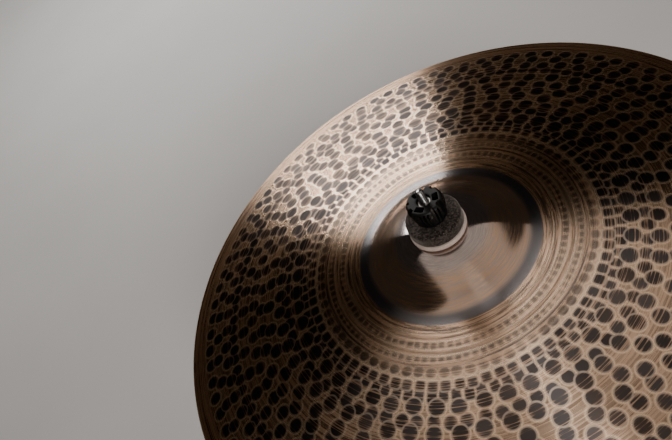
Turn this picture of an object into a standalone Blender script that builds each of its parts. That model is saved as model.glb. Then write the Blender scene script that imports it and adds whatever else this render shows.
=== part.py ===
"""Crash cymbal on a short tilter post, as an assembly of separate pieces.

Metres, +Z up. The origin is the centre of the post's lower end face. The cymbal lies level
over the post, its axis on +Z, and the tilter's hinge lies along X. Heights named *_H are
measured from the plane of the cymbal's rim, and heights named *_Z from the origin.
"""

import math

import bmesh
import bpy
from mathutils import Matrix, Vector

# ---------------------------------------------------------------- driving dimensions

GAP = 0.0003                     # air between touching pieces

# cymbal
RIM_RADIUS = 0.2286
RIM_Z = 0.162
BELL_RADIUS = 0.0672
BELL_STEEP_RADIUS = 0.051        # where the bell is steepest, before it eases into the bow
BELL_EDGE_H = 0.025
CROWN_H = 0.042
HOLE_RADIUS = 0.00635
RIM_THICKNESS = 0.0009
BELL_THICKNESS = 0.0012
BOW_POWER = 1.7                  # how the bow steepens towards the rim
BELL_POWER = 2.4                 # how the bell rounds off from its flat crown
BELL_SLOPE = (CROWN_H - BELL_EDGE_H) / (
    BELL_STEEP_RADIUS / BELL_POWER + (BELL_RADIUS - BELL_STEEP_RADIUS) / 2
)
CYMBAL_SEGMENTS = 72

# stack on the rod
ROD_RADIUS = 0.003
ROD_BORE = ROD_RADIUS + GAP
ROD_TIP_H = 0.083
SLEEVE_RADIUS = 0.00525
SLEEVE_BORE = 0.0034
SLEEVE_FLANGE_RADIUS = 0.013
FELT_BORE = SLEEVE_RADIUS + GAP
FELT_RADIUS = 0.020
LOWER_FELT_RADIUS = 0.019
CUP_FLOOR_H = 0.0302
CUP_RIM_H = 0.0320
CUP_RADIUS = 0.017
CUP_THICKNESS = 0.002
JAM_NUT_FLATS = 0.010
JAM_NUT_HEIGHT = 0.005
WASHER_RADIUS = 0.0205
WASHER_BORE = 0.007
WASHER_LOW_H = CROWN_H + GAP
WASHER_TOP_H = 0.046
FELT_TOP_H = 0.0565
NUT_LOW_H = 0.057
NUT_WIDE_H = 0.067
NUT_TOP_H = 0.0735
NUT_LOW_RADIUS = 0.0108
NUT_WIDE_RADIUS = 0.0132
NUT_TOP_RADIUS = 0.0104
NUT_RECESS = 0.0049
NUT_FLUTE_DEPTH = 0.0009
POCKET_AZIMUTHS = (-14, 106, 226)
POCKET_IN = 0.0058               # from the rod's axis
POCKET_OUT = 0.0102
POCKET_HALF_WIDTH = 0.0031
POCKET_DEPTH = 0.005
INSERT_TOP_H = 0.0718

# tilter
HINGE_Z = 0.150
CHEEK_RADIUS = 0.016
CHEEK_IN = 0.0016                # inner face of each cheek, from the middle plane
CHEEK_OUT = 0.010
BOLT_RADIUS = 0.003
BOLT_BORE = BOLT_RADIUS + GAP
BOLT_END_X = 0.028
BOLT_HEAD_RADIUS = 0.007
BOLT_HEAD_HEIGHT = 0.0033
SQUARE_HALF = 0.003
SQUARE_DEPTH = 0.0038
SPRING_POCKET_RADIUS = 0.0049
SPRING_POCKET_X = 0.005
SPRING_COIL_RADIUS = 0.00395
SPRING_WIRE_RADIUS = 0.00045
SPRING_TURNS = 4
DISC_RADIUS = 0.015
DISC_HALF = CHEEK_IN - GAP
FLAT_WASHER_X = CHEEK_OUT + GAP
FLAT_WASHER_THICKNESS = 0.0013
LOCK_WASHER_X = FLAT_WASHER_X + FLAT_WASHER_THICKNESS + GAP
LOCK_WASHER_THICKNESS = 0.0014
WING_X = LOCK_WASHER_X + LOCK_WASHER_THICKNESS + GAP
WING_HUB_LENGTH = 0.010
WING_SPAN = 0.022                # from the bolt's axis to a wing's tip
WING_TIP_X = 0.0145              # how far a wing's tip leans out past the nut's face
WING_HALF_THICKNESS = 0.0014
WING_TURN = 70                   # degrees, at rest
FLAT_WASHER_RADIUS = 0.0075
LOCK_WASHER_RADIUS = 0.0056
LOCK_WASHER_SLIT = 0.001
BOSS_RADIUS = 0.011
BOSS_TOP_RADIUS = 0.0072
BOSS_LOW = 0.0172                # above the hinge
BOSS_TOP = RIM_Z + CUP_FLOOR_H - CUP_THICKNESS - JAM_NUT_HEIGHT - 2 * GAP - HINGE_Z
ROD_PIN_UP = 0.0235              # cross pin, above the hinge
ROD_PIN_RADIUS = 0.0015

# post
POST_RADIUS = 0.00635
SOCKET_RADIUS = 0.013
SOCKET_TOP = 0.018               # below the hinge
SOCKET_LOW = 0.054
SOCKET_FLOOR = 0.0225
POST_PIN_DOWN = 0.040
POST_PIN_RADIUS = 0.002

# ---------------------------------------------------------------- helpers


def clear_scene():
    for old in list(bpy.data.objects):
        bpy.data.objects.remove(old, do_unlink=True)


def material(name, colour, roughness, metallic):
    made = bpy.data.materials.new(name)
    made.use_nodes = True
    shader = made.node_tree.nodes["Principled BSDF"]
    shader.inputs["Base Color"].default_value = (*colour, 1.0)
    shader.inputs["Roughness"].default_value = roughness
    shader.inputs["Metallic"].default_value = metallic
    made.diffuse_color = (*colour, 1.0)
    return made


def add_object(name, mesh_data, finish, location=(0, 0, 0), rotation=(0, 0, 0)):
    """Turns a bmesh into a named object, shaded smooth across its gentle edges."""
    mesh = bpy.data.meshes.new(name)
    bmesh.ops.recalc_face_normals(mesh_data, faces=mesh_data.faces)
    mesh_data.to_mesh(mesh)
    mesh_data.free()
    mesh.shade_smooth()
    mesh.set_sharp_from_angle(angle=math.radians(35))
    made = bpy.data.objects.new(name, mesh)
    if finish:
        mesh.materials.append(material(name, *finish))
    made.location = location
    made.rotation_euler = rotation
    bpy.context.scene.collection.objects.link(made)
    return made


def turned(outline, segments):
    """A closed outline of (radius, height) points, spun round Z."""
    spun = bmesh.new()
    ring = [spun.verts.new((radius, 0, height)) for radius, height in outline]
    edges = [spun.edges.new((ring[i - 1], ring[i])) for i in range(len(ring))]
    bmesh.ops.spin(
        spun, geom=ring + edges, cent=(0, 0, 0), axis=(0, 0, 1),
        angle=math.tau, steps=segments, use_merge=True,
    )
    bmesh.ops.remove_doubles(spun, verts=spun.verts, dist=1e-6)
    bmesh.ops.dissolve_degenerate(spun, dist=1e-7, edges=spun.edges)
    return spun


def solid_of_revolution(outline, segments):
    """An outline that starts and ends on the axis, spun round Z."""
    spun = bmesh.new()
    ring = [spun.verts.new((radius, 0, height)) for radius, height in outline]
    edges = [spun.edges.new((ring[i], ring[i + 1])) for i in range(len(ring) - 1)]
    bmesh.ops.spin(
        spun, geom=ring + edges, cent=(0, 0, 0), axis=(0, 0, 1),
        angle=math.tau, steps=segments, use_merge=True,
    )
    bmesh.ops.remove_doubles(spun, verts=spun.verts, dist=1e-6)
    return spun


def rounded(corners, steps=2):
    """Replaces each (radius, height, fillet) corner by an arc; a fillet of 0 keeps it sharp."""
    points = []
    for i, (x, y, fillet) in enumerate(corners):
        corner = Vector((x, y))
        if not fillet:
            points.append((x, y))
            continue
        before = Vector(corners[i - 1][:2]) - corner
        after = Vector(corners[(i + 1) % len(corners)][:2]) - corner
        half = before.angle(after) / 2
        reach = fillet / math.tan(half)
        centre = corner + (before.normalized() + after.normalized()).normalized() * (
            fillet / math.sin(half)
        )
        start = corner + before.normalized() * reach - centre
        sweep = start.angle_signed(corner + after.normalized() * reach - centre)
        for k in range(steps + 1):
            arm = start.copy()
            arm.rotate(Matrix.Rotation(-sweep * k / steps, 2))
            points.append(tuple(centre + arm))
    return points


def tube_outline(inner, outer, low, high, fillet=0.0):
    return rounded(
        [(outer, high, fillet), (outer, low, fillet), (inner, low, 0), (inner, high, 0)], 1
    )


def plate(outline, low, high, bevel=0.0):
    """A flat outline of (u, v) points, extruded along Z from low to high."""
    solid = bmesh.new()
    face = solid.faces.new([solid.verts.new((u, v, low)) for u, v in outline])
    grown = bmesh.ops.extrude_face_region(solid, geom=[face])
    top = [item for item in grown["geom"] if isinstance(item, bmesh.types.BMVert)]
    bmesh.ops.translate(solid, vec=(0, 0, high - low), verts=top)
    bmesh.ops.recalc_face_normals(solid, faces=solid.faces)
    if bevel:
        caps = [f for f in solid.faces if abs(f.normal.z) > 0.9]
        rims = {edge for cap in caps for edge in cap.edges}
        bmesh.ops.bevel(
            solid, geom=list(rims), offset=bevel, segments=2, profile=0.6, affect="EDGES"
        )
    return solid


def operand(name, mesh_data, location=(0, 0, 0), rotation=(0, 0, 0)):
    """A shape used only by Boolean modifiers."""
    made = add_object(name, mesh_data, None, location, rotation)
    made.hide_render = True
    made.display_type = "WIRE"
    return made


def boolean(target, other, operation):
    step = target.modifiers.new(other.name, "BOOLEAN")
    step.operation = operation
    step.solver = "EXACT"
    step.object = other


def rod_cutter(name, radius, low, high, location, rotation, segments=24):
    outline = [(0, high), (radius, high), (radius, low), (0, low)]
    return operand(name, solid_of_revolution(outline, segments), location, rotation)


ALONG_X = (0, math.pi / 2, 0)    # turns a piece's own Z onto world X
ALONG_Y = (-math.pi / 2, 0, 0)   # turns a piece's own Z onto world Y

# finishes: colour, roughness, metallic
BRONZE = ((0.42, 0.29, 0.21), 0.32, 1.0)
CHROME = ((0.80, 0.80, 0.82), 0.12, 1.0)
STEEL = ((0.55, 0.55, 0.57), 0.30, 1.0)
CASTING = ((0.62, 0.62, 0.64), 0.22, 1.0)
DARK_FELT = ((0.060, 0.055, 0.050), 0.95, 0.0)
LIGHT_FELT = ((0.44, 0.36, 0.29), 0.85, 0.0)
BLACK_PLASTIC = ((0.015, 0.015, 0.016), 0.38, 0.0)
NYLON = ((0.03, 0.03, 0.032), 0.45, 0.0)
FIBRE = ((0.16, 0.09, 0.05), 0.80, 0.0)

# ---------------------------------------------------------------- cymbal


def cymbal_top(radius):
    """Height of the upper surface over the rim plane.

    The bell falls away from a flat crown, is steepest at BELL_STEEP_RADIUS, and then eases
    into the bow, which starts level.
    """
    if radius <= BELL_RADIUS:
        inner = min(radius, BELL_STEEP_RADIUS)
        fall = inner / BELL_POWER * (inner / BELL_STEEP_RADIUS) ** (BELL_POWER - 1)
        past = max(radius - BELL_STEEP_RADIUS, 0)
        fall += past - past**2 / (BELL_RADIUS - BELL_STEEP_RADIUS) / 2
        return CROWN_H - BELL_SLOPE * fall
    share = (radius - BELL_RADIUS) / (RIM_RADIUS - BELL_RADIUS)
    return BELL_EDGE_H * (1 - share**BOW_POWER)


def cymbal_thickness(radius):
    share = radius / RIM_RADIUS
    return BELL_THICKNESS + (RIM_THICKNESS - BELL_THICKNESS) * share


def cymbal_stations(bell_steps, foot_steps, bow_steps):
    bell = [
        HOLE_RADIUS + (BELL_STEEP_RADIUS - HOLE_RADIUS) * (i / bell_steps) ** 0.8
        for i in range(bell_steps)
    ]
    bell += [
        BELL_STEEP_RADIUS + (BELL_RADIUS - BELL_STEEP_RADIUS) * i / foot_steps
        for i in range(foot_steps)
    ]
    bow = [
        BELL_RADIUS + (RIM_RADIUS - BELL_RADIUS) * i / bow_steps for i in range(bow_steps + 1)
    ]
    return bell + bow


def make_cymbal():
    upper = [(r, cymbal_top(r)) for r in cymbal_stations(6, 3, 8)]
    lower = [(r, cymbal_top(r) - cymbal_thickness(r)) for r in cymbal_stations(5, 3, 6)]
    outline = upper + lower[::-1]
    add_object("cymbal", turned(outline, CYMBAL_SEGMENTS), BRONZE, (0, 0, RIM_Z))


# ---------------------------------------------------------------- stack on the rod


def make_rod():
    low = HINGE_Z + BOSS_LOW + 2 * GAP - RIM_Z
    chamfer = 0.0008
    outline = [
        (0, ROD_TIP_H), (ROD_RADIUS - chamfer, ROD_TIP_H),
        (ROD_RADIUS, ROD_TIP_H - chamfer), (ROD_RADIUS, low), (0, low),
    ]
    rod = add_object("cymbal_rod", solid_of_revolution(outline, 24), CHROME, (0, 0, RIM_Z))
    boolean(rod, bpy.data.objects["rod_pin_hole"], "DIFFERENCE")


def make_jam_nut():
    high = CUP_FLOOR_H - CUP_THICKNESS - GAP
    corner = JAM_NUT_FLATS / 2 / math.cos(math.pi / 6)
    hexagon = [
        (corner * math.cos(i * math.pi / 3), corner * math.sin(i * math.pi / 3))
        for i in range(6)
    ]
    shape = plate(hexagon, high - JAM_NUT_HEIGHT, high, bevel=0.0005)
    nut = add_object("rod_jam_nut", shape, STEEL, (0, 0, RIM_Z))
    bore = rod_cutter("jam_nut_bore", ROD_BORE, 0, 0.04, (0, 0, RIM_Z), (0, 0, 0))
    boolean(nut, bore, "DIFFERENCE")


def make_seat_cup():
    recess = SLEEVE_FLANGE_RADIUS + GAP
    low = CUP_FLOOR_H - CUP_THICKNESS
    outline = rounded([
        (ROD_BORE, CUP_FLOOR_H, 0), (recess, CUP_FLOOR_H, 0), (recess, CUP_RIM_H, 0),
        (CUP_RADIUS, CUP_RIM_H, 0.0008), (CUP_RADIUS, low + 0.0012, 0.0008),
        (CUP_RADIUS - 0.004, low, 0), (ROD_BORE, low, 0),
    ])
    add_object("seat_cup", turned(outline, 32), STEEL, (0, 0, RIM_Z))


def make_sleeve():
    low = CUP_FLOOR_H + GAP
    flange_top = CUP_RIM_H
    top = NUT_LOW_H - GAP
    outline = rounded([
        (SLEEVE_BORE, top, 0), (SLEEVE_RADIUS, top, 0.0004), (SLEEVE_RADIUS, flange_top, 0),
        (SLEEVE_FLANGE_RADIUS, flange_top, 0.0004), (SLEEVE_FLANGE_RADIUS, low, 0.0004),
        (SLEEVE_BORE, low, 0),
    ], 2)
    add_object("sleeve", turned(outline, 24), NYLON, (0, 0, RIM_Z))


def make_lower_felt():
    """Its top follows the inside of the bell."""
    def under_bell(radius):
        return cymbal_top(radius) - cymbal_thickness(radius) - 2 * GAP

    low = CUP_RIM_H + GAP
    shoulder = LOWER_FELT_RADIUS - 0.0025
    top_points = [
        (radius, under_bell(radius))
        for radius in (FELT_BORE + 0.0008, (FELT_BORE + shoulder) / 2, shoulder)
    ]
    side = rounded([
        (shoulder, under_bell(shoulder), 0),
        (LOWER_FELT_RADIUS, under_bell(shoulder) - 0.0004, 0.0015),
        (LOWER_FELT_RADIUS, low, 0.0012), (FELT_BORE, low, 0),
    ])
    outline = [(FELT_BORE, under_bell(FELT_BORE) - 0.0003)] + top_points + side[1:]
    add_object("lower_felt", turned(outline, 32), DARK_FELT, (0, 0, RIM_Z))


def make_washer_and_felt():
    washer = tube_outline(WASHER_BORE, WASHER_RADIUS, WASHER_LOW_H, WASHER_TOP_H, 0.0009)
    add_object("light_washer", turned(washer, 36), LIGHT_FELT, (0, 0, RIM_Z))
    felt = rounded([
        (FELT_RADIUS, FELT_TOP_H, 0.0022), (FELT_RADIUS, WASHER_TOP_H + GAP, 0.0012),
        (FELT_BORE, WASHER_TOP_H + GAP, 0), (FELT_BORE, FELT_TOP_H, 0),
    ])
    add_object("upper_felt", turned(felt, 36), DARK_FELT, (0, 0, RIM_Z))


def make_nut():
    """Plastic nut: its side carries grip flutes, its top three pockets round the insert."""
    segments, pattern = 60, (0, 0, 1, 1, 0, 1)
    shoulder = [
        (
            NUT_TOP_RADIUS + (NUT_WIDE_RADIUS - NUT_TOP_RADIUS) * math.cos(turn),
            NUT_WIDE_H + (NUT_TOP_H - NUT_WIDE_H) * math.sin(turn),
        )
        for turn in (math.radians(a) for a in (90, 60, 35, 12))
    ]
    wall_low = NUT_LOW_H + 0.001
    outline = [(NUT_RECESS, NUT_TOP_H)] + shoulder + [
        (NUT_WIDE_RADIUS, NUT_WIDE_H - 0.001), (NUT_LOW_RADIUS + 0.0004, wall_low),
        (NUT_LOW_RADIUS, NUT_LOW_H), (ROD_BORE, NUT_LOW_H), (ROD_BORE, wall_low),
        (NUT_RECESS, wall_low),
    ]
    shape = turned(outline, segments)
    for vert in shape.verts:
        radius = math.hypot(vert.co.x, vert.co.y)
        if radius < NUT_LOW_RADIUS + 0.0002 or vert.co.z > NUT_TOP_H - 0.0015:
            continue
        turn = math.atan2(vert.co.y, vert.co.x) % math.tau
        step = round(turn / math.tau * segments) % len(pattern)
        if pattern[step]:
            vert.co.x *= 1 - NUT_FLUTE_DEPTH / radius
            vert.co.y *= 1 - NUT_FLUTE_DEPTH / radius
    nut = add_object("nut_body", shape, BLACK_PLASTIC, (0, 0, RIM_Z))
    taper = 0.0008
    for i, azimuth in enumerate(POCKET_AZIMUTHS):
        pocket = plate(
            [(POCKET_IN, -POCKET_HALF_WIDTH), (POCKET_OUT, -POCKET_HALF_WIDTH + taper),
             (POCKET_OUT, POCKET_HALF_WIDTH - taper), (POCKET_IN, POCKET_HALF_WIDTH)],
            NUT_TOP_H - POCKET_DEPTH, NUT_TOP_H + 0.002,
        )
        turn = (0, 0, math.radians(azimuth))
        cutter = operand(f"nut_pocket_{i + 1}", pocket, (0, 0, RIM_Z), turn)
        boolean(nut, cutter, "DIFFERENCE")
    insert = tube_outline(
        ROD_BORE, NUT_RECESS - GAP, wall_low + GAP, INSERT_TOP_H, 0.0003
    )
    add_object("nut_insert", turned(insert, 24), STEEL, (0, 0, RIM_Z))


# ---------------------------------------------------------------- tilter


def cheek(direction, neck_half, neck_reach):
    """A round ear with a neck that narrows along +Z or -Z, as thick as one tilter half.

    It is drawn flat, in the plane across the hinge, and extruded along the hinge.
    """
    reach = math.hypot(neck_half, neck_reach)
    tangent = math.acos(CHEEK_RADIUS / reach) + math.atan2(neck_half, neck_reach)
    steps = 16
    outline = []
    for i in range(steps + 1):
        turn = tangent + (math.tau - 2 * tangent) * i / steps
        outline.append(
            (direction * -CHEEK_RADIUS * math.cos(turn), CHEEK_RADIUS * math.sin(turn))
        )
    outline.append((direction * -neck_reach, -neck_half))
    outline.append((direction * -neck_reach, neck_half))
    return outline


def tilter_half(name, direction, side, neck_half, neck_reach):
    """One half's ear. In the ear's own frame +Z is the hinge, and its -X is world +Z."""
    outline = cheek(direction, neck_half, neck_reach)
    low, high = sorted((side * CHEEK_IN, side * CHEEK_OUT))
    return add_object(
        name, plate(outline, low, high, bevel=0.0008), CASTING, (0, 0, HINGE_Z), ALONG_X
    )


def make_tilter_base():
    base = tilter_half("tilter_base", -1, -1, 0.0082, 0.026)
    socket_outline = rounded([
        (0, -SOCKET_TOP, 0), (SOCKET_RADIUS, -SOCKET_TOP, 0.002),
        (SOCKET_RADIUS, -SOCKET_LOW, 0.0012), (0, -SOCKET_LOW, 0),
    ])
    socket = operand("socket", solid_of_revolution(socket_outline, 32), (0, 0, HINGE_Z))
    boolean(base, socket, "UNION")
    post_bore = rod_cutter(
        "post_bore", POST_RADIUS + GAP, -SOCKET_LOW - 0.01, -SOCKET_FLOOR + GAP,
        (0, 0, HINGE_Z), (0, 0, 0),
    )
    boolean(base, post_bore, "DIFFERENCE")
    boolean(base, bpy.data.objects["bolt_bore"], "DIFFERENCE")
    boolean(base, bpy.data.objects["spring_pocket"], "DIFFERENCE")
    boolean(base, bpy.data.objects["post_pin_hole"], "DIFFERENCE")
    half = SQUARE_HALF + GAP
    square = plate(
        [(-half, -half), (half, -half), (half, half), (-half, half)],
        -CHEEK_OUT - 0.002, -CHEEK_OUT + SQUARE_DEPTH,
    )
    boolean(base, operand("square_pocket", square, (0, 0, HINGE_Z), ALONG_X), "DIFFERENCE")


def make_tilter_head():
    head = tilter_half("tilter_head", 1, 1, 0.0044, 0.027)
    boss_outline = rounded([
        (0, BOSS_TOP, 0), (BOSS_TOP_RADIUS, BOSS_TOP, 0.0006), (BOSS_RADIUS, BOSS_TOP - 0.007, 0.002),
        (BOSS_RADIUS, BOSS_LOW, 0.0012), (0, BOSS_LOW, 0),
    ])
    boss = operand("boss", solid_of_revolution(boss_outline, 32), (0, 0, HINGE_Z))
    boolean(head, boss, "UNION")
    rod_bore = rod_cutter(
        "rod_bore", ROD_BORE, BOSS_LOW + GAP, BOSS_TOP + 0.01, (0, 0, HINGE_Z), (0, 0, 0)
    )
    boolean(head, rod_bore, "DIFFERENCE")
    boolean(head, bpy.data.objects["bolt_bore"], "DIFFERENCE")
    boolean(head, bpy.data.objects["spring_pocket"], "DIFFERENCE")
    boolean(head, bpy.data.objects["rod_pin_hole"], "DIFFERENCE")


def make_shared_cutters():
    at_hinge = (0, 0, HINGE_Z)
    rod_cutter("bolt_bore", BOLT_BORE, -0.02, 0.02, at_hinge, ALONG_X)
    rod_cutter(
        "spring_pocket", SPRING_POCKET_RADIUS, -SPRING_POCKET_X, SPRING_POCKET_X,
        at_hinge, ALONG_X,
    )
    rod_cutter(
        "rod_pin_hole", ROD_PIN_RADIUS + GAP, -0.02, 0.02,
        (0, 0, HINGE_Z + ROD_PIN_UP), ALONG_Y, 16,
    )
    rod_cutter(
        "post_pin_hole", POST_PIN_RADIUS + GAP, -0.02, 0.02,
        (0, 0, HINGE_Z - POST_PIN_DOWN), ALONG_Y, 16,
    )


def make_pins():
    """Cross pins with chamfered ends, a little shorter than the holes they fill."""
    for name, radius, half, height, in (
        ("rod_pin", ROD_PIN_RADIUS, BOSS_RADIUS - 0.0004, HINGE_Z + ROD_PIN_UP),
        ("post_pin", POST_PIN_RADIUS, SOCKET_RADIUS - 0.0004, HINGE_Z - POST_PIN_DOWN),
    ):
        chamfer = radius * 0.25
        outline = [
            (0, half), (radius - chamfer, half), (radius, half - chamfer),
            (radius, -half + chamfer), (radius - chamfer, -half), (0, -half),
        ]
        add_object(name, solid_of_revolution(outline, 16), STEEL, (0, 0, height), ALONG_Y)


def make_brake_disc():
    outline = tube_outline(
        SPRING_POCKET_RADIUS, DISC_RADIUS, -DISC_HALF, DISC_HALF, 0.0004
    )
    add_object("brake_disc", turned(outline, 32), FIBRE, (0, 0, HINGE_Z), ALONG_X)


def make_release_spring():
    """A helix whose ends lie just short of the pockets' floors."""
    reach = SPRING_POCKET_X - GAP - SPRING_WIRE_RADIUS
    per_turn, sides = 12, 5
    count = SPRING_TURNS * per_turn
    coil = bmesh.new()
    rings = []
    for i in range(count + 1):
        turn = math.tau * i / per_turn
        centre = Vector((
            SPRING_COIL_RADIUS * math.cos(turn), SPRING_COIL_RADIUS * math.sin(turn),
            -reach + 2 * reach * i / count,
        ))
        outward = Vector((math.cos(turn), math.sin(turn), 0))
        ring = []
        for k in range(sides):
            angle = math.tau * k / sides
            offset = outward * math.cos(angle) + Vector((0, 0, 1)) * math.sin(angle)
            ring.append(coil.verts.new(centre + offset * SPRING_WIRE_RADIUS))
        rings.append(ring)
    for first, second in zip(rings, rings[1:]):
        for k in range(sides):
            coil.faces.new((first[k - 1], first[k], second[k], second[k - 1]))
    coil.faces.new(rings[0])
    coil.faces.new(rings[-1][::-1])
    add_object("release_spring", coil, STEEL, (0, 0, HINGE_Z), ALONG_X)


def make_bolt():
    """Carriage bolt: domed head, square neck, round shank."""
    face = -CHEEK_OUT - GAP
    dome = [
        (
            BOLT_HEAD_RADIUS * math.cos(math.radians(a)),
            face - BOLT_HEAD_HEIGHT * math.sin(math.radians(a)),
        )
        for a in (0, 25, 50, 72)
    ]
    chamfer = 0.0006
    outline = [
        (0, BOLT_END_X), (BOLT_RADIUS - chamfer, BOLT_END_X),
        (BOLT_RADIUS, BOLT_END_X - chamfer), (BOLT_RADIUS, face),
    ] + dome + [(0, face - BOLT_HEAD_HEIGHT)]
    bolt = add_object(
        "tilter_bolt", solid_of_revolution(outline, 24), CHROME, (0, 0, HINGE_Z), ALONG_X
    )
    half = SQUARE_HALF
    neck = plate(
        [(-half, -half), (half, -half), (half, half), (-half, half)],
        face - 0.0005, face + SQUARE_DEPTH,
    )
    boolean(bolt, operand("square_neck", neck, (0, 0, HINGE_Z), ALONG_X), "UNION")


def make_washers():
    flat = tube_outline(
        BOLT_BORE, FLAT_WASHER_RADIUS, FLAT_WASHER_X, FLAT_WASHER_X + FLAT_WASHER_THICKNESS,
        0.0002,
    )
    add_object("tilter_washer", turned(flat, 24), STEEL, (0, 0, HINGE_Z), ALONG_X)
    split = tube_outline(
        BOLT_BORE, LOCK_WASHER_RADIUS, LOCK_WASHER_X, LOCK_WASHER_X + LOCK_WASHER_THICKNESS,
    )
    ring = add_object("lock_washer", turned(split, 24), STEEL, (0, 0, HINGE_Z), ALONG_X)
    near, far, half = BOLT_RADIUS - 0.001, LOCK_WASHER_RADIUS + 0.001, LOCK_WASHER_SLIT / 2
    slit = plate(
        [(near, -half), (far, -half), (far, half), (near, half)],
        LOCK_WASHER_X - 0.001, LOCK_WASHER_X + LOCK_WASHER_THICKNESS + 0.001,
    )
    boolean(ring, operand("split_slit", slit, (0, 0, HINGE_Z), ALONG_X), "DIFFERENCE")


def make_wing_nut():
    """Round hub and two wings that lean outward."""
    high = WING_X + WING_HUB_LENGTH
    hub_outline = rounded([
        (BOLT_BORE, high, 0), (0.0052, high, 0.0006), (0.0066, WING_X, 0.0006),
        (BOLT_BORE, WING_X, 0),
    ])
    nut = add_object(
        "tilter_wing_nut", turned(hub_outline, 32), CASTING, (0, 0, HINGE_Z), ALONG_X
    )
    wing_outline = rounded([
        (0.0045, WING_X + 0.0015, 0), (WING_SPAN - 0.006, WING_X + 0.0030, 0.004),
        (WING_SPAN, WING_X + WING_TIP_X - 0.0015, 0.0035),
        (WING_SPAN - 0.010, WING_X + WING_TIP_X, 0.004),
        (0.0045, high - 0.0012, 0),
    ], 3)
    for i, turn in enumerate((0, math.pi)):
        wing = plate(wing_outline, -WING_HALF_THICKNESS, WING_HALF_THICKNESS, bevel=0.0006)
        bmesh.ops.rotate(
            wing, verts=wing.verts, cent=(0, 0, 0), matrix=Matrix.Rotation(math.pi / 2, 3, "X")
        )
        bmesh.ops.rotate(
            wing, verts=wing.verts, cent=(0, 0, 0),
            matrix=Matrix.Rotation(turn + math.radians(WING_TURN), 3, "Z"),
        )
        shape = operand(f"wing_{i + 1}", wing, (0, 0, HINGE_Z), ALONG_X)
        boolean(nut, shape, "UNION")


# ---------------------------------------------------------------- post


def make_post():
    high = HINGE_Z - SOCKET_FLOOR
    chamfer = 0.0008
    outline = [
        (0, high), (POST_RADIUS - chamfer, high), (POST_RADIUS, high - chamfer),
        (POST_RADIUS, chamfer), (POST_RADIUS - chamfer, 0), (0, 0),
    ]
    post = add_object("post", solid_of_revolution(outline, 40), CHROME)
    boolean(post, bpy.data.objects["post_pin_hole"], "DIFFERENCE")


clear_scene()
make_shared_cutters()
make_cymbal()
make_rod()
make_jam_nut()
make_seat_cup()
make_sleeve()
make_lower_felt()
make_washer_and_felt()
make_nut()
make_tilter_base()
make_tilter_head()
make_pins()
make_brake_disc()
make_release_spring()
make_bolt()
make_washers()
make_wing_nut()
make_post()
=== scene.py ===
"""The looks of the crash cymbal: camera, light, the hammered bronze and its mounting stack.

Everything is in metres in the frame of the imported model: +Z is the cymbal's axis, and the
rim's plane, the hinge and the stack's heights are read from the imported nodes.
"""

import math

import bmesh
import bpy
import numpy as np
from mathutils import Matrix, Quaternion, Vector


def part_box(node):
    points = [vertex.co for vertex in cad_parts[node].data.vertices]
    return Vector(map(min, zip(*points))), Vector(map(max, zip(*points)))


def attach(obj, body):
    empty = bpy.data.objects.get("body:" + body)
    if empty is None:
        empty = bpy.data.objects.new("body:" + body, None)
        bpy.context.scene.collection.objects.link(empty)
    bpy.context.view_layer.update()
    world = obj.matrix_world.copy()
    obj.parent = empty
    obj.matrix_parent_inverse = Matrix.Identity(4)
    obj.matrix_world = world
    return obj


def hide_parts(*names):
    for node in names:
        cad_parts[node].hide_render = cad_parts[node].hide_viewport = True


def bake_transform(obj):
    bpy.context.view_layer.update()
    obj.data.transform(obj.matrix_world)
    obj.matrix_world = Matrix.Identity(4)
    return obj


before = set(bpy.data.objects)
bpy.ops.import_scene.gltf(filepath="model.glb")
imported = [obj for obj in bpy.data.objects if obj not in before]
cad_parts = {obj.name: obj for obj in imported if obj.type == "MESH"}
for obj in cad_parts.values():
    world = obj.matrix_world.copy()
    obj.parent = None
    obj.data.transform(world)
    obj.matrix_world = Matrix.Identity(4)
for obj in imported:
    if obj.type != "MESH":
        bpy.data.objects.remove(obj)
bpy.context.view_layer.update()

MM = 0.001
TAU = math.tau
ALONG_X = Matrix.Rotation(math.pi / 2, 4, "Y")  # turns a piece's own Z onto world X
ALONG_Y = Matrix.Rotation(-math.pi / 2, 4, "X")  # turns a piece's own Z onto world Y

# ------------ places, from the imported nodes


def low_high(node):
    """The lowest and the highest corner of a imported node's box."""
    low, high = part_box(node)
    return [float(v) for v in low], [float(v) for v in high]


CYMBAL_LOW, CYMBAL_HIGH = low_high("cymbal")
RIM_RADIUS = CYMBAL_HIGH[0]
RIM_THICKNESS = 0.9 * MM
BELL_THICKNESS = 1.2 * MM
RIM_Z = CYMBAL_LOW[2] + RIM_THICKNESS
CROWN_H = 42.0 * MM
BELL_EDGE_H = 25.0 * MM
BELL_RADIUS = 67.2 * MM
BELL_STEEP_RADIUS = 51.0 * MM
HOLE_RADIUS = 6.35 * MM
BOW_POWER = 1.7
BELL_POWER = 2.4
BELL_SLOPE = (CROWN_H - BELL_EDGE_H) / (
    BELL_STEEP_RADIUS / BELL_POWER + (BELL_RADIUS - BELL_STEEP_RADIUS) / 2
)
DISC_LOW, DISC_HIGH = low_high("brake_disc")
HINGE = Vector((0, 0, (DISC_HIGH[2] + DISC_LOW[2]) / 2))
AT_HINGE = Matrix.Translation(HINGE)
ROUND_BOLT = AT_HINGE @ ALONG_X  # for a piece drawn round Z that belongs round the bolt
M6_BORE = 3.3 * MM  # round the rod and round the tilter's bolt

# ------------ mesh tools


def linked(name, data):
    """A new object of the scene that shows this mesh, camera or light."""
    made = bpy.data.objects.new(name, data)
    bpy.context.scene.collection.objects.link(made)
    return made


def mesh_object(name, verts, faces, sharp_degrees=40):
    mesh = bpy.data.meshes.new(name)
    mesh.from_pydata([tuple(v) for v in verts], [], faces)
    mesh.validate()
    mesh.shade_smooth()
    mesh.set_sharp_from_angle(angle=math.radians(sharp_degrees))
    return linked(name, mesh)


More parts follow.
